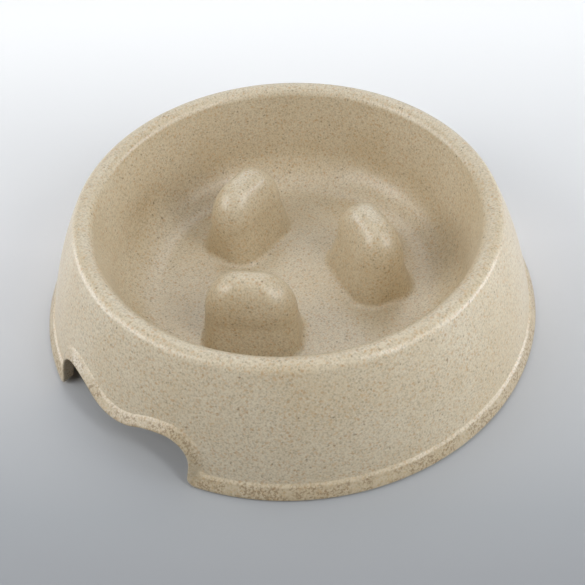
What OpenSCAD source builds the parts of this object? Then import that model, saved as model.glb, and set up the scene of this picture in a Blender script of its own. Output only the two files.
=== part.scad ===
// Slow feeder bowl for a dog or cat: a round dish with humps that the food lies between.
// The dish, the flared skirt that it hangs in and the humps are one moulding with an
// even wall, open underneath. Small rubber feet push into bosses inside the skirt.
// The origin is on the surface that the feet stand on, under the middle of the bowl.
// The two finger notches lie on the X axis.

/* [Bowl] */
// Diameter across the hem, the widest part
base_d = 230; // [216:1:250]
// Height of the rim above the hem's lower edge
bowl_h = 54; // [50:0.5:62]
// Diameter of the rim's crown, its highest ring
crown_d = 177.6; // [166:0.5:186]
// Wall thickness of the whole moulding
wall_t = 3; // [2.5:0.1:3.8]
// Outside radius of the rolled rim
rim_r = 4.9; // [4.4:0.1:6]
// Radius of the skirt's bowed profile
skirt_bow_r = 200; // [160:5:400]

/* [Dish] */
// Height of the dish's floor above the hem's lower edge
floor_h = 4; // [3.6:0.1:8]
// Lean of the dish's wall from upright, in degrees
dish_lean = 8; // [6:0.5:12]
// Fillet radius between the dish's wall and its floor
dish_fillet_r = 21; // [12:0.5:22]

/* [Hem] */
// How far the hem band stands out from the skirt
band_t = 2.5; // [1.5:0.1:3.5]
// Height of the hem band
band_h = 6.3; // [5:0.1:8]
// Width of the band where it follows a finger notch
notch_band_w = 4; // [3:0.1:6]
// Rounding of the hem's lower outer edge
hem_edge_r = 1; // [0.5:0.1:1.4]

/* [Finger notches] */
// Width between a notch's upright sides
notch_w = 75.6; // [64:0.5:84]
// Height of a notch under its two lobes
notch_h = 21; // [18:0.5:26]
// How far the middle of a notch's edge hangs below the lobes
notch_dip = 5.8; // [3:0.1:8]
// Radius of a lobe's outer corner
notch_corner_r = 11.3; // [7:0.1:13]
// Rounding where a notch meets the hem's lower edge
notch_foot_r = 4; // [2:0.5:6]

/* [Humps] */
// Number of humps round the dish
hump_count = 3; // [2:1:3]
// Distance of each hump from the bowl's axis
hump_orbit_r = 37.7; // [35:0.1:39]
// Place of the first hump round the bowl, in degrees from the notch axis
hump_first_a = 74.4; // [0:0.1:119]
// Turn of a hump's length from the line round the bowl, in degrees
hump_turn_a = 20; // [10:0.5:30]
// Length of a hump where its dome starts
hump_l = 41; // [34:0.5:44]
// Width of a hump where its dome starts
hump_w = 22; // [18:0.5:24]
// Height of a hump's crest above the dish's floor
hump_h = 37.5; // [30:0.1:40]
// Height of the domed part of a hump
hump_dome_h = 22; // [16:0.5:24]
// Length of the ridge along a hump's crest
hump_ridge_l = 5.6; // [3:0.1:10]
// Width of the flat left along a hump's crest
hump_crest_w = 1.6; // [1:0.1:3]
// Lean of a hump's long sides from upright, in degrees
hump_lean = 16.5; // [8:0.5:20]
// Lean of a hump's ends from upright, in degrees
hump_end_lean = 4.5; // [2:0.5:12]
// Fillet radius at a hump's foot
hump_foot_r = 3; // [2:0.5:5]

/* [Rubber feet] */
// Number of rubber feet
foot_count = 4; // [4:1:4]
// Distance of each foot from the bowl's axis
foot_orbit_r = 101; // [98:0.5:102]
// Diameter of a foot's pad
foot_pad_d = 11; // [8:0.5:12]
// How far a foot stands below the hem
foot_stand = 0.8; // [0.5:0.1:1.5]
// Depth of a pad's seat in its boss
foot_seat_depth = 1.4; // [1:0.1:2]
// Diameter of a foot's stem over its barbs
foot_stem_d = 4.4; // [3.5:0.1:5]
// Length of a foot's stem
foot_stem_l = 6.5; // [5:0.5:7]
// Wall round a pad's seat
boss_wall = 1.8; // [1.4:0.1:2.4]
// Height of a boss above the hem's lower edge
boss_h = 12; // [11:0.5:14]

/* [Hidden] */

// Overrun of every cut past the face that it opens
over = 2;
// Clearance round a pad in its seat, and round a stem in its hole
pad_clear = 0.2;
stem_clear = 0.1;
// Space left past a stem's tip
stem_end_clear = 0.8;
// Rounding of a pad's lower edge, and depth of a stem's barbs
pad_edge_r = 0.4;
barb_depth = 0.35;
// Width of the flat left in the middle of a hump's rounded end
end_flat = 0.6;
// How deep a hump's foot fillet starts under the floor, so that it meets it at an angle
fillet_sink = 0.12;

// Angle from one foot to the next, and from one hump to the next
foot_step_a = 360 / foot_count;
hump_step_a = 360 / hump_count;

// Segments of the profile's arcs
bow_n = 10;
roll_n = 14;
dish_n = 12;
fillet_n = 5;
dome_n = 12;
edge_n = 4;
lobe_n = 6;
round_fn = 48;

// Centre of the rolled rim in the profile
rim_c = [crown_d / 2, bowl_h - rim_r];
// The hem's widest point, on the band's outer face
hem_p = [base_d / 2, hem_edge_r];
// Centre of the skirt's bow: its outer face passes the hem and runs into the rim's roll
bow_c = two_circles(hem_p, skirt_bow_r + band_t, rim_c, skirt_bow_r - rim_r);
// Angle at which the bow runs into the roll
bow_end_a = atan2(rim_c[1] - bow_c[1], rim_c[0] - bow_c[0]);
// Direction that the dish's wall faces, in the profile
dish_face_a = 180 - dish_lean;
dish_face = [cos(dish_face_a), sin(dish_face_a)];
// Centre of the fillet between the dish's wall and floor
fillet_c_h = floor_h + dish_fillet_r;
fillet_c_r = (rim_c * dish_face + rim_r + dish_fillet_r - dish_face[1] * fillet_c_h) / dish_face[0];
fillet_c = [fillet_c_r, fillet_c_h];

// A lobe's place along the notch, and the radius of the wave between two lobes
lobe_y = notch_w / 2 - notch_corner_r;
wave_r = (lobe_y * lobe_y + notch_dip * notch_dip) / (4 * notch_dip);
// Radii between which a notch's cut and its band reach, the inner one as a share of the hem's
notch_in_share = 0.74;
notch_in_r = base_d / 2 * notch_in_share;
notch_out_r = base_d / 2 + over;

// Height above the floor at which a hump's dome starts
shoulder_h = hump_h - hump_dome_h;
// How far a hump's dome draws in from its side and from its end
dome_w = (hump_w - hump_crest_w) / 2;
dome_l = (hump_l - hump_ridge_l) / 2;

// Radius of a pad's seat and of a stem's hole
seat_r = foot_pad_d / 2 + pad_clear;
stem_hole_r = foot_stem_d / 2 + stem_clear;
boss_r = seat_r + boss_wall;

// Name of rubber foot i
function foot_name(i) = str("rubber_foot_", i);

// Points of an arc in the profile
function arc(c, r, a0, a1, n) = [
    for (i = [0:n]) let (a = a0 + (a1 - a0) * i / n) c + r * [cos(a), sin(a)]
];

// Point where two circles cross, on the side towards the bowl's axis
function two_circles(p, rp, q, rq) =
    let (d = norm(q - p), u = (q - p) / d, a = (rp * rp - rq * rq + d * d) / (2 * d))
    p + a * u + sqrt(rp * rp - a * a) * [-u[1], u[0]];

// Angle on the bow, at radius r, where it is h above the hem's lower edge
function bow_a(r, h) = asin((h - bow_c[1]) / r);

// Part of the skirt's bow, moved out by t, from height h0 to h1
function bow(t, h0, h1) =
    let (r = skirt_bow_r + t)
    arc(bow_c, r, bow_a(r, h0), bow_a(r, h1), bow_n);

// One face of the moulding from the hem over the rim to the floor, moved in by t
function skin(t) = concat(
    arc(bow_c, skirt_bow_r - t, bow_a(skirt_bow_r - t, 0), bow_end_a, bow_n),
    arc(rim_c, rim_r - t, bow_end_a, dish_face_a, roll_n),
    arc(fillet_c, dish_fillet_r + t, -dish_lean, -90, dish_n),
    [[0, floor_h - t]]
);

// The points of a list in the other order
function turned(p) = [for (i = [len(p) - 1:-1:0]) p[i]];

// Half of a notch's outline, from its middle to its side, grown by g
function notch_half(g) =
    let (
        mid_c = [0, notch_h - notch_dip + wave_r],
        lobe_c = [lobe_y, notch_h - wave_r],
        join_a = atan2(lobe_c[1] - mid_c[1], lobe_c[0] - mid_c[0])
    )
    concat(
        arc(mid_c, wave_r - g, -90, join_a, lobe_n),
        arc(lobe_c, wave_r + g, join_a + 180, 90, lobe_n),
        arc([lobe_y, notch_h - notch_corner_r], notch_corner_r + g, 90, 0, lobe_n)
    );

// The side of a notch's cut where it rounds into the hem's lower edge
function notch_foot() = arc([notch_w / 2 + notch_foot_r, notch_foot_r], notch_foot_r, 180, 270, lobe_n);

// A whole notch outline from its half and the points below it
function notch_outline(half) =
    concat(half, [[half[len(half) - 1][0], -over]],
           [[-half[len(half) - 1][0], -over]], turned([for (p = half) [-p[0], p[1]]]));

// How far a hump's face that leans by a stands out at its foot from where the dome starts
function flare(a) = (shoulder_h - hump_foot_r * (1 - sin(a))) * tan(a);

// Points of a hump's foot fillet below a face that leans by a, moved in by t
function foot_arc(a, t) =
    let (start_a = acos((hump_foot_r - fillet_sink) / hump_foot_r))
    arc([flare(a) + hump_foot_r * cos(a), hump_foot_r - fillet_sink],
        hump_foot_r + t, 270 - start_a, 180 + a, fillet_n);

// A ring round a hump at height h: half length a, half width b and corner radius r
function hump_ring(a, b, r, h) =
    [for (k = [0:3]) for (i = [0:edge_n])
        let (
            sx = (k == 0 || k == 3) ? 1 : -1,
            sy = k < 2 ? 1 : -1,
            t = 90 * (k + i / edge_n)
        )
        [sx * (a - r) + r * cos(t), sy * (b - r) + r * sin(t), h]];

// The rings of a hump from its foot to its crest, moved in by t
function hump_rings(t) =
    let (
        ends = foot_arc(hump_end_lean, t),
        sides = foot_arc(hump_lean, t),
        r = (hump_w - end_flat) / 2 - t,
        top = sides[fillet_n][0]
    )
    concat(
        [for (i = [0:fillet_n])
            hump_ring(hump_l / 2 + ends[i][0], hump_w / 2 + sides[i][0], r + sides[i][0] - top,
                      (ends[i][1] + sides[i][1]) / 2)],
        [for (i = [0:dome_n])
            let (
                a = 90 * i / dome_n,
                b = hump_w / 2 - dome_w * (1 - cos(a)) - t * cos(a)
            )
            hump_ring(hump_l / 2 - dome_l * (1 - cos(a)) - t * cos(a), b, b - end_flat / 2,
                      shoulder_h + (hump_dome_h - t) * sin(a))]
    );

// Closed solid through a stack of rings that have as many points each
module lofted(rings) {
    n = len(rings[0]);
    m = len(rings);
    points = [for (ring = rings) for (p = ring) p];
    sides = [for (j = [0:m - 2]) for (i = [0:n - 1])
        let (a = j * n + i, b = j * n + (i + 1) % n)
        each [[a, a + n, b + n], [a, b + n, b]]];
    low = [for (i = [1:n - 2]) [0, i, i + 1]];
    high = [for (i = [1:n - 2]) [(m - 1) * n, (m - 1) * n + i + 1, (m - 1) * n + i]];
    polyhedron(points, concat(sides, low, high));
}

// One hump's solid, moved in by t, with a straight stretch below its foot
module hump(t) {
    rings = hump_rings(t);
    drop = t > 0 ? wall_t + over : wall_t / 2;
    base = [for (p = rings[0]) [p[0], p[1], p[2] - drop]];
    lofted(concat([base], rings));
}

// Places its children at every hump
module at_humps() {
    for (i = [0:hump_count - 1])
        rotate([0, 0, hump_first_a + hump_step_a * i])
            translate([hump_orbit_r, 0, floor_h])
                rotate([0, 0, 90 + hump_turn_a])
                    children();
}

// Places its children at foot i, or at all feet
module at_foot(i) {
    rotate([0, 0, foot_step_a * (i - 0.5)])
        translate([foot_orbit_r, 0, 0])
            children();
}

// An outline in the Y and Z plane, pushed out along X through both sides of the skirt
module through_skirt(outline) {
    for (side = [0, 180])
        rotate([0, 0, side])
            translate([notch_in_r, 0, 0])
                rotate([90, 0, 90])
                    linear_extrude(notch_out_r - notch_in_r)
                        polygon(outline);
}

// The dish, rim and skirt in one even wall
module shell() {
    rotate_extrude($fn = round_fn)
        polygon(concat(skin(0), turned(skin(wall_t))));
}

// The hem band, and the band that follows each notch
module hem_band() {
    rotate_extrude($fn = round_fn)
        polygon(concat(
            turned(bow(-wall_t / 2, 0, band_h)),
            [[hem_p[0] - hem_edge_r, 0]],
            bow(band_t, hem_edge_r, band_h - band_t / 2)
        ));
    intersection() {
        rotate_extrude($fn = round_fn)
            polygon(concat(
                turned(bow(-wall_t / 2, 0, notch_h + 2 * notch_band_w)),
                bow(band_t, hem_edge_r, notch_h + 2 * notch_band_w)
            ));
        through_skirt(notch_outline(notch_half(notch_band_w)));
    }
}

// The bosses that hold the rubber feet, kept inside the skirt's wall
module bosses() {
    intersection() {
        for (i = [1:foot_count])
            at_foot(i) {
                cylinder(r = boss_r, h = boss_h, $fn = round_fn);
                translate([0, -boss_r, 0])
                    cube([base_d / 2 - foot_orbit_r, 2 * boss_r, boss_h]);
            }
        rotate_extrude($fn = round_fn)
            polygon(concat([[0, 0]], bow(-wall_t / 2, 0, boss_h), [[0, boss_h]]));
    }
}

// The seats that the rubber feet push into
module foot_seats() {
    for (i = [1:foot_count])
        at_foot(i) {
            translate([0, 0, -over])
                cylinder(r = seat_r, h = foot_seat_depth + over, $fn = round_fn);
            cylinder(r = stem_hole_r, h = foot_seat_depth + foot_stem_l + stem_end_clear, $fn = round_fn);
        }
}

// The moulded bowl
module bowl() {
    color([0.78, 0.73, 0.64])
        translate([0, 0, foot_stand])
            difference() {
                union() {
                    shell();
                    hem_band();
                    bosses();
                    at_humps() hump(0);
                }
                through_skirt(notch_outline(concat(notch_half(0), notch_foot())));
                at_humps() hump(wall_t);
                foot_seats();
            }
}

// One push-in rubber foot: a round pad with a barbed stem
module rubber_foot(i) {
    pad_r = foot_pad_d / 2;
    pad_h = foot_stand + foot_seat_depth;
    stem_r = foot_stem_d / 2;
    core_r = stem_r - barb_depth;
    barb_l = foot_stem_l / 3;
    color([0.30, 0.28, 0.25])
        at_foot(i)
            rotate_extrude($fn = round_fn)
                polygon(concat(
                    [[0, 0], [pad_r - pad_edge_r, 0]],
                    [[pad_r, pad_edge_r], [pad_r, pad_h], [core_r, pad_h]],
                    [for (k = [1:2]) each [
                        [core_r, pad_h + barb_l * k - barb_depth],
                        [stem_r, pad_h + barb_l * k],
                        [core_r, pad_h + barb_l * k + 2 * barb_depth]
                    ]],
                    [[core_r, pad_h + foot_stem_l - barb_depth],
                     [core_r - barb_depth, pad_h + foot_stem_l],
                     [0, pad_h + foot_stem_l]]
                ));
}

bowl();
for (i = [1:foot_count])
    rubber_foot(i);
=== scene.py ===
from collections import namedtuple
import math

import bmesh
import bpy
from mathutils import Matrix, Vector


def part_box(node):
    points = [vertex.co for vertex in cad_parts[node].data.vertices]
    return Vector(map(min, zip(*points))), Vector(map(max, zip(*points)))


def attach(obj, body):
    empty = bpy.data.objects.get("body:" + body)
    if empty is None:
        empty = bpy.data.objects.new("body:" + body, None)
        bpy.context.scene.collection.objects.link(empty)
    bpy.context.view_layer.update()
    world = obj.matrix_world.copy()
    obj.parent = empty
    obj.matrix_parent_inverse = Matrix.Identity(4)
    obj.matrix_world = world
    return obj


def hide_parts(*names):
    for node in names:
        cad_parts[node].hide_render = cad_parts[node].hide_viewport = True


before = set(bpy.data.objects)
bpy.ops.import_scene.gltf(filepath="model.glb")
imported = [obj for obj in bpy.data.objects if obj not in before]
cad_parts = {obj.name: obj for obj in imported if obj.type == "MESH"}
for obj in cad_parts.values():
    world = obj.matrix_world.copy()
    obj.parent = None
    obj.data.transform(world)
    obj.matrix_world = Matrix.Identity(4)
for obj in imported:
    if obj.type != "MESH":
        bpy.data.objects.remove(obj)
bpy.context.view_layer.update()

# Bowl: skirt, rolled rim, dish and humps in one moulding with an even 3 mm wall, of ground
# bamboo and husk in a pale resin. The steel mould leaves it a soft satin skin, and the husk
# shows through that as brown, orange and dark specks.


class Signal:
    """A socket that can be used in an expression; each operation adds its Math node."""

    def __init__(self, tree, socket):
        self.tree = tree
        self.socket = socket

    def math(self, operation, *values):
        return add_node(self.tree, "ShaderNodeMath", {"operation": operation}, [self, *values])

    def __add__(self, other):
        return self.math("ADD", other)

    __radd__ = __add__

    def __mul__(self, other):
        return self.math("MULTIPLY", other)

    __rmul__ = __mul__

    def __sub__(self, other):
        return self.math("SUBTRACT", other)

    def __rsub__(self, other):
        return (self * -1.0).math("ADD", other)

    def between(self, low, high):
        """0 below low and 1 above high, with a smooth step; low may be above high."""
        return add_node(
            self.tree, "ShaderNodeMapRange", {"interpolation_type": "SMOOTHSTEP"},
            {"Value": self, "From Min": low, "From Max": high, "To Min": 0.0, "To Max": 1.0},
            "Result")


def add_node(tree, kind, settings, inputs, output=0):
    """Adds a node: its settings first, then the values or links of its sockets."""
    node = tree.nodes.new(kind)
    for name, value in settings.items():
        if name == "stops":
            ramp = node.color_ramp
            while len(ramp.elements) < len(value):
                ramp.elements.new(1.0)
            for element, (place, colour) in zip(ramp.elements, value):
                element.position = place
                element.color = colour
        else:
            setattr(node, name, value)
    pairs = inputs.items() if isinstance(inputs, dict) else enumerate(inputs)
    for name, value in pairs:
        if isinstance(value, Signal):
            tree.links.new(value.socket, node.inputs[name])
        else:
            node.inputs[name].default_value = value
    return Signal(tree, node.outputs[output])


def mixed(tree, share, below, above):
    """Colour below where share is 0, and above where it is 1."""
    return add_node(tree, "ShaderNodeMix", {"data_type": "RGBA"},
                    {0: share, 6: below, 7: above}, 2)


def linear(red, green, blue):
    """A colour written as 0 to 255, turned into the renderer's linear values."""
    parts = [v / 255 for v in (red, green, blue)]
    parts = [v / 12.92 if v <= 0.04045 else ((v + 0.055) / 1.055) ** 2.4 for v in parts]
    return (*parts, 1.0)


composite = bpy.data.materials.new("fibre_composite")
composite.use_nodes = True
tree = composite.node_tree
shader = tree.nodes["Principled BSDF"]
where = add_node(tree, "ShaderNodeTexCoord", {}, {}, "Object")


def grains(per_metre, detail, shift=(0.0, 0.0, 0.0)):
    """Soft noise with so many grains to a metre, from its own part of space."""
    moved = add_node(tree, "ShaderNodeVectorMath", {"operation": "ADD"}, [where, shift])
    return add_node(tree, "ShaderNodeTexNoise", {"noise_dimensions": "3D"},
                    {"Vector": moved, "Scale": per_metre, "Detail": detail, "Roughness": 0.6})


def specks(per_metre, radius, share, soft, shift):
    """Mask of bits: cells to a metre, a bit's radius in cells, and the share of cells with one."""
    bend_per_metre = 1.1 * per_metre
    bend_reach = 0.7 / per_metre
    share_edge = 0.06
    moved = add_node(tree, "ShaderNodeVectorMath", {"operation": "ADD"}, [where, shift])
    bend = add_node(tree, "ShaderNodeTexNoise", {"noise_dimensions": "3D"},
                    {"Vector": moved, "Scale": bend_per_metre, "Detail": 1.0}, 1)
    bent = add_node(tree, "ShaderNodeVectorMath", {"operation": "MULTIPLY_ADD"},
                    [bend, (bend_reach,) * 3, moved])
    cells = {"Vector": bent, "Scale": per_metre, "Randomness": 1.0}
    near = add_node(tree, "ShaderNodeTexVoronoi", {"feature": "F1"}, cells, "Distance")
    pick = add_node(tree, "ShaderNodeTexVoronoi", {"feature": "F1"}, cells, "Color")
    lot = add_node(tree, "ShaderNodeSeparateColor", {}, [pick])
    held = lot.between(share + share_edge, share - share_edge)
    return near.between(radius + soft, radius - soft) * held


# Resin with clouds, and under the skin a fine mottle of ground fibre and straw
clouds = grains(30.0, 3.0).between(0.35, 0.65)
fibre = grains(1250.0, 1.0).between(0.62, 0.30)
straw = grains(760.0, 1.0, (0.2, 0.5, 0.7)).between(0.50, 0.78)
resin = mixed(tree, clouds, linear(219, 206, 179), linear(213, 197, 166))

# Bits in the skin. At the hem and round the notches, where the melt reaches last, they gather
# in ragged clumps; the mesh's hem_share attribute is 1 there. The hem's darker tone there is
# partly its own speckle and partly painted shade on the band
husk = specks(950.0, radius=0.40, share=0.30, soft=0.20, shift=(0.31, 0.17, 0.05))
bran = specks(640.0, radius=0.36, share=0.22, soft=0.20, shift=(0.83, 0.41, 0.29))
flour = specks(1000.0, radius=0.40, share=0.30, soft=0.20, shift=(0.11, 0.73, 0.59))
char = specks(560.0, radius=0.26, share=0.07, soft=0.14, shift=(0.47, 0.09, 0.91))
hem_share = add_node(tree, "ShaderNodeAttribute", {"attribute_name": "hem_share"}, {}, "Fac")
patches = grains(150.0, 2.0, (0.6, 0.3, 0.1)).between(0.38, 0.56)
clumps = grains(950.0, 2.0, (0.9, 0.4, 0.6)).between(0.47, 0.60) * patches * hem_share

tint = resin
for bits, strength, colour in (
        (fibre, 0.55, linear(180, 163, 134)),
        (straw, 0.55, linear(204, 169, 122)),
        (flour, 0.35, linear(226, 219, 202)),
        (husk, 0.45, linear(154, 138, 111)),
        (bran, 0.50, linear(186, 144, 96)),
        (char, 0.60, linear(112, 93, 68)),
        # Painted shade on the hem band, partly its real darker speckle
        (hem_share, 0.40, linear(166, 147, 112)),
        (clumps, 0.66, linear(130, 103, 68))):
    tint = mixed(tree, bits * strength, tint, colour)
tree.links.new(tint.socket, shader.inputs["Base Color"])

grain = grains(700.0, 3.0)
satin = 0.37 + 0.10 * grain - 0.04 * husk + 0.05 * char
tree.links.new(satin.socket, shader.inputs["Roughness"])
relief = grain * 0.6 + husk * 0.2 - char * 0.5
skin = add_node(tree, "ShaderNodeBump", {},
                {"Strength": 0.10, "Distance": 0.0002, "Height": relief})
tree.links.new(skin.socket, shader.inputs["Normal"])
shader.inputs["Coat Weight"].default_value = 0.36
shader.inputs["Coat Roughness"].default_value = 0.17

# The moulding's sizes in mm; heights are over the hem's lower edge, which the feet lift by stand
mm = 0.001
half_pi = math.pi / 2
low_corner, high_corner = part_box("bowl")
stand = low_corner.z / mm
hem_x = high_corner.y / mm
wall = 3.0
bow_r = 200.0
roll_r = 4.9
roll_x = 88.8
roll_z = high_corner.z / mm - stand - roll_r
hem_round = 1.0
floor_z = 4.0
lean = math.radians(8)
dish_fillet = 20.2
band_out = 2.5
hem_band_h = 6.3
notch_band_h = 4.0
free_z = 30.0

# The bow's centre: its outer face passes the hem and runs into the rim's roll
gap_x = roll_x - hem_x
gap_z = roll_z - hem_round
gap = math.hypot(gap_x, gap_z)
along = ((bow_r + band_out) ** 2 - (bow_r - roll_r) ** 2 + gap ** 2) / (2 * gap)
aside = math.sqrt((bow_r + band_out) ** 2 - along ** 2)
bow_x = hem_x + along * gap_x / gap - aside * gap_z / gap
bow_z = hem_round + along * gap_z / gap + aside * gap_x / gap
bow_end = math.atan2(roll_z - bow_z, roll_x - bow_x)

# The centre of the fillet between the dish's wall and its floor
face = math.pi - lean
fillet_z = floor_z + dish_fillet
fillet_x = (roll_x * math.cos(face) + roll_z * math.sin(face) + roll_r + dish_fillet
            - math.sin(face) * fillet_z) / math.cos(face)


def radius_at(z, out):
    """The skirt's radius at height z, for a face moved out by out."""
    return bow_x + math.sqrt((bow_r + out) ** 2 - (z - bow_z) ** 2)


def arc(x, z, r, start, end, count):
    """Points of an arc, count steps from start to end."""
    turns = [start + (end - start) * i / count for i in range(count + 1)]
    return [(x + r * math.cos(a), z + r * math.sin(a)) for a in turns]


# Finger notches, drawn in the plane across them: a wave with two lobes, corners and feet
notch_w = 75.6
notch_h = 21.0
notch_dip = 5.8
corner_r = 11.3
edge_foot_r = 4.0
crease_foot_r = 2.5
lobe_y = notch_w / 2 - corner_r
wave_r = (lobe_y ** 2 + notch_dip ** 2) / (4 * notch_dip)
join = math.atan2(notch_dip - 2 * wave_r, lobe_y)
middle_steps = 12
lobe_steps = 12
corner_steps = 18
side_steps = 8
foot_steps = 10


def notch_edge(grow, foot, foot_z):
    """Half of a notch's outline, grown by grow, from its middle to its foot's end at foot_z."""
    side = notch_w / 2 + grow
    line = arc(0, notch_h - notch_dip + wave_r, wave_r - grow, -half_pi, join, middle_steps)
    line += arc(lobe_y, notch_h - wave_r, wave_r + grow, join + math.pi, half_pi, lobe_steps)[1:]
    line += arc(lobe_y, notch_h - corner_r, corner_r + grow, half_pi, 0, corner_steps)[1:]
    top = line[-1][1]
    low = foot_z + foot
    line += [(side, top + (low - top) * i / side_steps) for i in range(1, side_steps + 1)]
    return line + arc(side + foot, low, foot, math.pi, 1.5 * math.pi, foot_steps)[1:]


# Columns of a quarter turn, from a notch's middle round to the hem's: each has its angle and
# height on the lower edge and on the band's crease, its swing, which is 1 where the band stands
# square to the notch's outline, and its angle free of the notches, on the circles above them
hem_steps = 56
swing_steps = 10
skirt_r = 105.0
quarter_turn = []
for (y, z), (crease_y, crease_z) in zip(notch_edge(0, edge_foot_r, 0),
                                        notch_edge(notch_band_h, crease_foot_r, hem_band_h)):
    quarter_turn.append([math.asin(y / radius_at(z, 0)), z,
                         math.asin(crease_y / radius_at(crease_z, 0)), crease_z, 1.0])
edge_start, crease_start = quarter_turn[-1][0], quarter_turn[-1][2]
for i in range(1, hem_steps + 1):
    share = i / hem_steps
    quarter_turn.append([edge_start + (half_pi - edge_start) * share, 0.0,
                         crease_start + (half_pi - crease_start) * share, hem_band_h,
                         max(0.0, 1 - i / swing_steps)])
run = [0.0]
for a, b in zip(quarter_turn, quarter_turn[1:]):
    run.append(run[-1] + math.hypot((b[2] - a[2]) * skirt_r, b[3] - a[3]))

# All round: the quarter, and its mirror images
Column = namedtuple("Column", "base turn edge_a edge_z crease_a crease_z swing free_a")
columns = []
for quarter in range(4):
    part = [(*column, half_pi * length / run[-1]) for column, length in zip(quarter_turn, run)]
    base, turn = quarter * half_pi, 1
    if quarter % 2 == 1:
        part.reverse()
        base, turn = base + half_pi, -1
    columns += [Column(base, turn, *column) for column in part[:-1]]

moulding = bmesh.new()
number = moulding.verts.layers.int.new("column")
at_hem = moulding.verts.layers.float.new("hem_share")
first = bmesh.ops.create_circle(moulding, segments=len(columns), radius=1.0)["verts"]
for i, vert in enumerate(first):
    vert[number] = i
first_edges = list(moulding.edges)


def lay(verts, spot, hem=0.0):
    """Puts each vertex of a row where spot says for its column, with its share of the hem."""
    for vert in verts:
        column = columns[vert[number]]
        a, r, z = spot(column)
        a = column.base + column.turn * a
        vert.co = (r * math.cos(a) * mm, r * math.sin(a) * mm, (z + stand) * mm)
        vert[at_hem] = hem


def pull_row(bm, edges, move):
    """Extrudes an edge loop, moves the new row, and gives its edges."""
    made = bmesh.ops.extrude_edge_only(bm, edges=edges)["geom"]
    move([g for g in made if isinstance(g, bmesh.types.BMVert)])
    return [g for g in made if isinstance(g, bmesh.types.BMEdge)
            and all(v in made for v in g.verts) and len(g.link_faces) == 1]


# The band's face: how far up it the rounded edge ends, the slope turns into the step over the
# ledge, and the skirt's own face starts
edge_w = 1.5
slope_w = 5.0
skirt_w = 6.7
ledge = 1.1


def band_spot(width, out):
    """A spot on the band: width mm from the lower edge, out mm from the skirt's outer face."""
    def spot(column):
        band_h = notch_band_h + (hem_band_h - notch_band_h) * (1 - column.swing)
        f = width / band_h if width < edge_w else width / hem_band_h
        a = column.edge_a + f * (column.crease_a - column.edge_a)
        z = column.edge_z + f * (column.crease_z - column.edge_z)
        r = radius_at(z, out)
        tilt = math.asin(min(1.0, radius_at(z, 0) * math.sin(a) / r)) - a
        return a + column.swing * tilt, r, z
    return spot


def skirt_spot(share, out, width):
    """A spot on the skirt: share of the way from width mm up the band to the circle at free_z."""
    def spot(column):
        f = width / hem_band_h
        a = column.edge_a + f * (column.crease_a - column.edge_a)
        z = column.edge_z + f * (column.crease_z - column.edge_z)
        tilt = math.asin(min(1.0, radius_at(z, 0) * math.sin(a) / radius_at(z, out))) - a
        a += column.swing * tilt * (1 - share)
        a += share * (column.free_a - a)
        z += share * (free_z - z)
        return a, radius_at(z, out), z
    return spot


def ring_spot(r, z):
    """A spot on a plain circle above the notches."""
    return lambda column: (column.free_a, r, z)


def upper_rows(out, bow_steps, roll_steps, fillet_steps=16):
    """Plain circles from over the notches, round the rim and down to the floor, moved by out."""
    free_turn = math.asin((free_z - bow_z) / (bow_r + out))
    line = arc(bow_x, bow_z, bow_r + out, free_turn, bow_end, bow_steps)[1:]
    line += arc(roll_x, roll_z, roll_r + out, bow_end, face, roll_steps)[1:]
    line += arc(fillet_x, fillet_z, dish_fillet - out, -lean, -half_pi, fillet_steps)
    return [(ring_spot(r, z), 0.0) for r, z in line]


# Outside, from the lower edge's inner rounding up over the rim to the dish's floor
inner_round = 0.6
round_steps = 3
slope_steps = 4
ledge_steps = 9
skirt_steps = 12
rows = []
for i in range(round_steps + 1):
    a = half_pi * i / round_steps
    out = -wall + inner_round * (1 - math.cos(a))
    rows.append((band_spot(inner_round * (1 - math.sin(a)), out), 1.0))
for i in range(round_steps + 1):
    a = half_pi * i / round_steps
    out = band_out - hem_round * (1 - math.sin(a))
    rows.append((band_spot(hem_round * (1 - math.cos(a)), out), 1.0))
for i in range(1, slope_steps):
    t = i / slope_steps
    out = band_out + (ledge - band_out) * t
    rows.append((band_spot(edge_w + (slope_w - edge_w) * t, out), 1.0))
for i in range(ledge_steps + 1):
    t = i / ledge_steps
    out = ledge * (0.5 + 0.5 * math.cos(math.pi * t))
    rows.append((band_spot(slope_w + (skirt_w - slope_w) * t, out), 1.0 - t))
for i in range(1, skirt_steps + 1):
    rows.append((skirt_spot(i / skirt_steps, 0.0, skirt_w), 0.0))
rows += upper_rows(0.0, bow_steps=6, roll_steps=22)
lay(first, *rows[0])
open_edges = first_edges
for spot, hem in rows[1:]:
    open_edges = pull_row(moulding, open_edges, lambda verts: lay(verts, spot, hem))

# Inside, from the same first row up under the rim and down to the floor's underside
inside_w = 1.0
inside_steps = 7
rows = [(skirt_spot(i / inside_steps, -wall, inside_w), 0.0) for i in range(1, inside_steps + 1)]
rows += upper_rows(-wall, bow_steps=5, roll_steps=12)
open_edges = first_edges
for spot, hem in rows:
    open_edges = pull_row(moulding, open_edges, lambda verts: lay(verts, spot, hem))

# Humps: each is drawn up from its foot ring to its crest, and its hollow likewise. Points nearer
# to each other than a hair count as level
hump_orbit = 37.7
hump_first = math.radians(74.4)
hump_turn = math.radians(20)
hump_l = 41.0
hump_w = 22.0
hump_h = 37.5
dome_h = 22.0
ridge_l = 5.6
crest_w = 1.6
end_flat = 0.6
side_lean = math.radians(16.5)
end_lean = math.radians(4.5)
hump_fillet = 3.0
shoulder = hump_h - dome_h
hump_segments = 64
foot_rows = 9
lean_rows = 6
dome_rows = 26
hair = 0.01


def hump_foot(tilt, inset):
    """The fillet at the foot of a face that leans by tilt: how far out, and how high."""
    flare = (shoulder - hump_fillet * (1 - math.sin(tilt))) * math.tan(tilt)
    return arc(flare + hump_fillet * math.cos(tilt), hump_fillet, hump_fillet + inset,
               1.5 * math.pi, math.pi + tilt, foot_rows)


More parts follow.
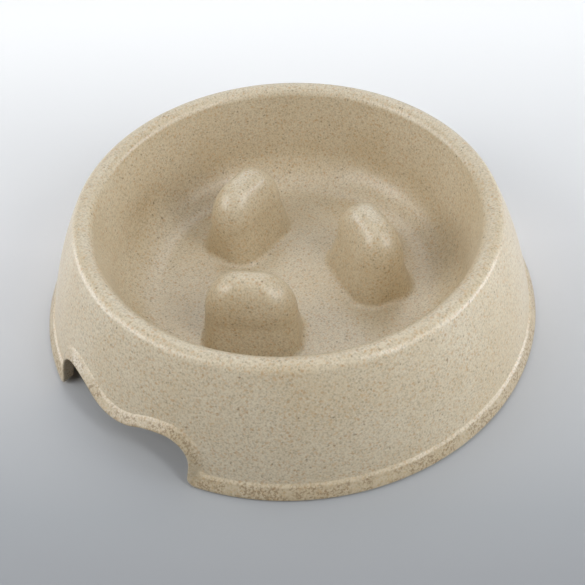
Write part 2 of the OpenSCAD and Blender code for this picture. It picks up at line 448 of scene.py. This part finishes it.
def hump_rows(inset):
    """Half length, half width, corner radius and height of each ring, moved in by inset."""
    ends = hump_foot(end_lean, inset)
    sides = hump_foot(side_lean, inset)
    end_x, end_z = ends[-1]
    side_x, side_z = sides[-1]
    corner = (hump_w - end_flat) / 2 - inset
    found = [(hump_l / 2 + ex, hump_w / 2 + sx, corner + sx - side_x, (ez + sz) / 2)
             for (ex, ez), (sx, sz) in zip(ends, sides)]
    foot_top = (end_z + side_z) / 2
    for i in range(1, lean_rows):
        t = i / lean_rows
        half_l = hump_l / 2 + end_x * (1 - t) - inset * t
        half_w = hump_w / 2 + side_x * (1 - t) - inset * t
        found.append((half_l, half_w, corner, foot_top + (shoulder - foot_top) * t))
    for i in range(dome_rows + 1):
        a = half_pi * i / dome_rows
        drawn = 1 - math.cos(a)
        half_w = hump_w / 2 - (hump_w - crest_w) / 2 * drawn - inset * math.cos(a)
        half_l = hump_l / 2 - (hump_l - ridge_l) / 2 * drawn - inset * math.cos(a)
        height = shoulder + (dome_h - inset) * math.sin(a)
        found.append((half_l, half_w, half_w - end_flat / 2, height))
    return found


def hump_skin(inset):
    """One face of a hump round the origin, drawn up from its foot ring and closed at its crest."""
    drawn = bmesh.new()
    facing = drawn.verts.layers.float_vector.new("facing")
    ring = bmesh.ops.create_circle(
        drawn, segments=hump_segments, radius=1.0,
        matrix=Matrix.Rotation(math.pi / hump_segments, 4, "Z"))["verts"]
    for vert in ring:
        vert[facing] = vert.co

    def set_ring(verts, size):
        """A ring of the hump: its half length, half width, corner radius and height."""
        half_l, half_w, r, h = size
        for vert in verts:
            d = vert[facing]
            vert.co = (math.copysign(half_l - r, d.x) + r * d.x,
                       math.copysign(half_w - r, d.y) + r * d.y, h)

    sizes = hump_rows(inset)
    set_ring(ring, sizes[0])
    edges = list(drawn.edges)
    for size in sizes[1:]:
        edges = pull_row(drawn, edges, lambda verts: set_ring(verts, size))
    bmesh.ops.contextual_create(drawn, geom=edges)
    return drawn


def join_copies(drawn, name, places):
    """Puts a copy of a drawn shape into the moulding at each place, given in mm."""
    mesh = bpy.data.meshes.new(name)
    drawn.to_mesh(mesh)
    drawn.free()
    for place in places:
        count = len(moulding.verts)
        moulding.from_mesh(mesh)
        moulding.verts.ensure_lookup_table()
        bmesh.ops.transform(moulding, matrix=place @ Matrix.Scale(mm, 4),
                            verts=moulding.verts[count:])


for inset, level in ((0.0, floor_z), (wall, floor_z - wall)):
    join_copies(hump_skin(inset), "hump_skin", [
        Matrix.Rotation(hump_first + i * 2 * math.pi / 3, 4, "Z")
        @ Matrix.Translation((hump_orbit * mm, 0, (floor_z + stand) * mm))
        @ Matrix.Rotation(half_pi + hump_turn, 4, "Z") for i in range(3)])
    loops = [edge for edge in moulding.edges if len(edge.link_faces) == 1
             and abs(edge.verts[0].co.z - (level + stand) * mm) < hair * mm]
    bmesh.ops.triangle_fill(moulding, edges=loops, use_beauty=True, use_dissolve=False)

# Bosses: a block for each foot, with a blind seat, that runs out into the skirt's wall
foot_low, foot_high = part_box("rubber_foot_1")
foot_orbit = (foot_low + foot_high).xy.length / 2 / mm
foot_first = math.radians(45)
boss_r = 7.5
boss_h = 12.0
boss_bite = 0.5
boss_levels = 3
boss_segments = 48
pad_seat_r = 5.7
pad_seat_h = 1.4
stem_seat_r = 2.3
stem_seat_h = 8.7
seat_segments = 32
block = [boss_h * i / boss_levels for i in range(boss_levels + 1)]
seat = [(pad_seat_r, 0.0), (pad_seat_r, pad_seat_h),
        (stem_seat_r, pad_seat_h), (stem_seat_r, stem_seat_h)]
boss = bmesh.new()
facing = boss.verts.layers.float_vector.new("facing")


def set_block(verts, z):
    """A level of the block: round towards the middle, and out to the skirt's wall."""
    for vert in verts:
        d = vert[facing] * boss_r
        far = math.sqrt(radius_at(z, boss_bite - wall) ** 2 - d.y ** 2) - foot_orbit
        vert.co = (far if d.x > hair else d.x, d.y, z)


def set_seat(verts, ring):
    """A ring of the blind seat: its radius and height."""
    for vert in verts:
        vert.co = vert[facing] * ring[0]
        vert.co.z = ring[1]


loops = []
for segments, put, rings in ((boss_segments, set_block, block),
                             (seat_segments, set_seat, seat)):
    ring = bmesh.ops.create_circle(boss, segments=segments, radius=1.0)["verts"]
    for vert in ring:
        vert[facing] = vert.co
    put(ring, rings[0])
    edges = [edge for edge in boss.edges if not edge.link_faces]
    loops += edges
    for size in rings[1:]:
        edges = pull_row(boss, edges, lambda verts: put(verts, size))
    bmesh.ops.contextual_create(boss, geom=edges)
bmesh.ops.triangle_fill(boss, edges=loops, use_beauty=True, use_dissolve=False)
join_copies(boss, "boss_skin", [
    Matrix.Rotation(foot_first + i * half_pi, 4, "Z")
    @ Matrix.Translation((foot_orbit * mm, 0, stand * mm)) for i in range(4)])

bmesh.ops.recalc_face_normals(moulding, faces=moulding.faces)
for polygon in moulding.faces:
    polygon.smooth = True
mesh = bpy.data.meshes.new("bowl_moulding")
moulding.to_mesh(mesh)
moulding.free()
mesh.materials.append(composite)
bowl = bpy.data.objects.new("bowl_moulding", mesh)
bpy.context.scene.collection.objects.link(bowl)
weigh = bowl.modifiers.new("even_shading", "WEIGHTED_NORMAL")
weigh.mode = "FACE_AREA"
weigh.weight = 60
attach(bowl, "root")
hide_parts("bowl")

# Rubber feet: soft grey-brown pads that keep the bowl from sliding.
# Each is pushed into a boss inside the skirt by a barbed stem.
rubber = bpy.data.materials.new("foot_rubber")
rubber.use_nodes = True
tree = rubber.node_tree
shader = tree.nodes["Principled BSDF"]
where = add_node(tree, "ShaderNodeTexCoord", {}, {}, "Object")
dust = grains(900.0, 4.0)
rubber_tint = mixed(tree, dust.between(0.4, 0.75), linear(92, 86, 78), linear(112, 105, 95))
tree.links.new(rubber_tint.socket, shader.inputs["Base Color"])
tree.links.new((0.62 + 0.2 * dust).socket, shader.inputs["Roughness"])
pores = add_node(tree, "ShaderNodeBump", {}, {"Strength": 0.2, "Distance": 0.0002, "Height": dust})
tree.links.new(pores.socket, shader.inputs["Normal"])
for i in range(1, 5):
    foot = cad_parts["rubber_foot_%d" % i]
    foot.data.materials.clear()
    foot.data.materials.append(rubber)

# Studio: a plain pale table top that runs far behind the bowl and takes its shadow. Its colour
# holds painted shade and painted light: it rises from grey in front of the bowl to white behind
# it, as behind the real one, and a painted glow for seen rays brightens it further behind. Far
# from the bowl it turns to one pale tone, and then into the room's air.
table_half = 6.0
away_turn = math.radians(39.5)
grey_from, grey_to = -0.16, 0.34
greys = ((0.03, (171, 173, 176)), (0.08, (179, 182, 185)), (0.38, (244, 244, 245)),
         (0.48, (250, 250, 250)), (1.0, (252, 252, 251)))
glow_from, glow_to = 0.48, 0.92
pale_from, pale_to = 0.26, 0.5
air_from, air_to = 0.36, 0.8
pale = linear(242, 242, 242)
black = (0.0, 0.0, 0.0, 1.0)
dim_white = (0.22, 0.22, 0.22, 1.0)
top_mesh = bmesh.new()
bmesh.ops.create_grid(top_mesh, x_segments=1, y_segments=1, size=table_half)
mesh = bpy.data.meshes.new("studio_floor")
top_mesh.to_mesh(mesh)
top_mesh.free()
table = bpy.data.objects.new("studio_floor", mesh)
bpy.context.scene.collection.objects.link(table)
paper = bpy.data.materials.new("studio_paper")
paper.use_nodes = True
tree = paper.node_tree
shader = tree.nodes["Principled BSDF"]
where = add_node(tree, "ShaderNodeTexCoord", {}, {}, "Object")
away = add_node(tree, "ShaderNodeVectorMath", {"operation": "DOT_PRODUCT"},
                [where, (math.cos(away_turn), math.sin(away_turn), 0.0)], 1)
fade = add_node(tree, "ShaderNodeMapRange", {},
                {"Value": away, "From Min": grey_from, "From Max": grey_to})
# Painted shade: the table top's colour darkens from white behind the bowl to grey in front
shade = add_node(tree, "ShaderNodeValToRGB",
                 {"stops": [(stop, linear(*grey)) for stop, grey in greys]}, [fade])
far = add_node(tree, "ShaderNodeVectorMath", {"operation": "LENGTH"}, [where], 1)
shade = mixed(tree, far.between(pale_from, pale_to), shade, pale)
tree.links.new(shade.socket, shader.inputs["Base Color"])


def seen_rays(tree):
    """1 for what the camera sees, also in a reflection or through glass, and 0 for light."""
    kinds = ("Is Camera Ray", "Is Glossy Ray", "Is Transmission Ray")
    rays = [add_node(tree, "ShaderNodeLightPath", {}, {}, kind) for kind in kinds]
    return (rays[0] + rays[1] + rays[2]).math("MINIMUM", 1.0)


# Painted glow: seen rays make the table top behind the bowl brighter, though it is no lamp
glow = mixed(tree, seen_rays(tree) * fade.between(glow_from, glow_to), black, dim_white)
tree.links.new(glow.socket, shader.inputs["Emission Color"])
shader.inputs["Emission Strength"].default_value = 1.0
shader.inputs["Roughness"].default_value = 0.9
shader.inputs["Specular IOR Level"].default_value = 0.1
backdrop = add_node(tree, "ShaderNodeEmission", {}, {"Color": pale})
backdrop_share = seen_rays(tree) * far.between(air_from, air_to)
blend = add_node(tree, "ShaderNodeMixShader", {},
                 [backdrop_share, Signal(tree, shader.outputs[0]), backdrop])
tree.links.new(blend.socket, tree.nodes["Material Output"].inputs["Surface"])
mesh.materials.append(paper)

# Studio: soft boxes round the bowl. Two tall narrow ones left and right of the camera draw the
# thin lines on the humps; broad ones at the sides, in front, behind and above fill in.
lamp_far = 1.2
lamp_aim = Vector((0.0, 0.0, 0.03))
white = (1.0, 1.0, 1.0)
day = (0.95, 1.0, 1.07)


def soft_box(name, azimuth, elevation, width, height, watts, tint):
    """A rectangular lamp that faces the bowl, placed by its direction from the bowl."""
    lamp = bpy.data.lights.new(name, "AREA")
    lamp.shape = "RECTANGLE"
    lamp.size = width
    lamp.size_y = height
    lamp.energy = watts
    lamp.color = tint
    stand_in = bpy.data.objects.new(name, lamp)
    a, e = math.radians(azimuth), math.radians(elevation)
    spot = Vector((math.cos(a) * math.cos(e), math.sin(a) * math.cos(e), math.sin(e))) * lamp_far
    stand_in.location = spot + lamp_aim
    stand_in.rotation_euler = (-spot).to_track_quat("-Z", "Y").to_euler()
    stand_in.visible_camera = False
    bpy.context.scene.collection.objects.link(stand_in)


soft_box("left_low", 120.0, 8.0, width=0.8, height=0.4, watts=3.1, tint=day)
soft_box("right_low", 309.0, 7.5, width=0.9, height=0.5, watts=6.9, tint=day)
soft_box("left_strip", 168.0, 38.0, width=0.12, height=1.1, watts=1.7, tint=white)
soft_box("right_strip", 268.5, 38.0, width=0.12, height=1.1, watts=4.0, tint=white)
soft_box("left_side", 130.0, 22.0, width=1.0, height=0.7, watts=2.6, tint=white)
soft_box("left_front", 148.0, 34.0, width=0.5, height=0.6, watts=3.1, tint=white)
soft_box("right_front", 290.0, 35.0, width=0.5, height=0.6, watts=2.3, tint=white)
soft_box("back_high", 42.4, 58.0, width=1.1, height=0.5, watts=2.9, tint=day)
soft_box("back_low", 38.0, 30.0, width=1.1, height=0.5, watts=1.4, tint=day)
soft_box("top_box", 222.4, 82.0, width=0.8, height=0.8, watts=1.8, tint=day)

# The air round it all is pale to the camera and gives no light
world = bpy.data.worlds.new("studio_air")
bpy.context.scene.world = world
world.use_nodes = True
tree = world.node_tree
air = mixed(tree, seen_rays(tree), black, pale)
tree.links.new(air.socket, tree.nodes["Background"].inputs["Color"])

# Camera: a long lens that looks down on the bowl from beside a finger notch.
# Its place, aim and roll were fitted to the hem's and rim's outlines in the photograph.
image_px = 585.0
focal_px = 787.0
look_down = math.radians(46.81)
hem_radii_away = 3.3129
camera_far = hem_radii_away * hem_x * mm
aim_right = math.tan(math.radians(0.09))
aim_up = math.tan(math.radians(-0.63))
roll = math.radians(-2.83)
round_bowl = math.radians(-47.6)
camera_data = bpy.data.cameras.new("camera")
camera_data.sensor_width = 36.0
camera_data.lens = focal_px * camera_data.sensor_width / image_px
camera_data.clip_start = 0.01
camera = bpy.data.objects.new("camera", camera_data)
bpy.context.scene.collection.objects.link(camera)
eye = Vector((0.0, -math.cos(look_down), math.sin(look_down))) * camera_far
ahead = -eye.normalized()
right = Vector((1.0, 0.0, 0.0))
ahead = (ahead + aim_right * right + aim_up * right.cross(ahead)).normalized()
right = ahead.cross(Vector((0.0, 0.0, 1.0))).normalized()
up = right.cross(ahead)
right, up = (math.cos(roll) * right + math.sin(roll) * up,
             math.cos(roll) * up - math.sin(roll) * right)
axes = Matrix((right, up, -ahead)).transposed().to_4x4()
camera.matrix_world = (Matrix.Rotation(round_bowl, 4, "Z")
                       @ Matrix.Translation(eye + Vector((0.0, 0.0, stand * mm))) @ axes)
bpy.context.scene.camera = camera

bpy.context.scene.view_settings.view_transform = "Standard"
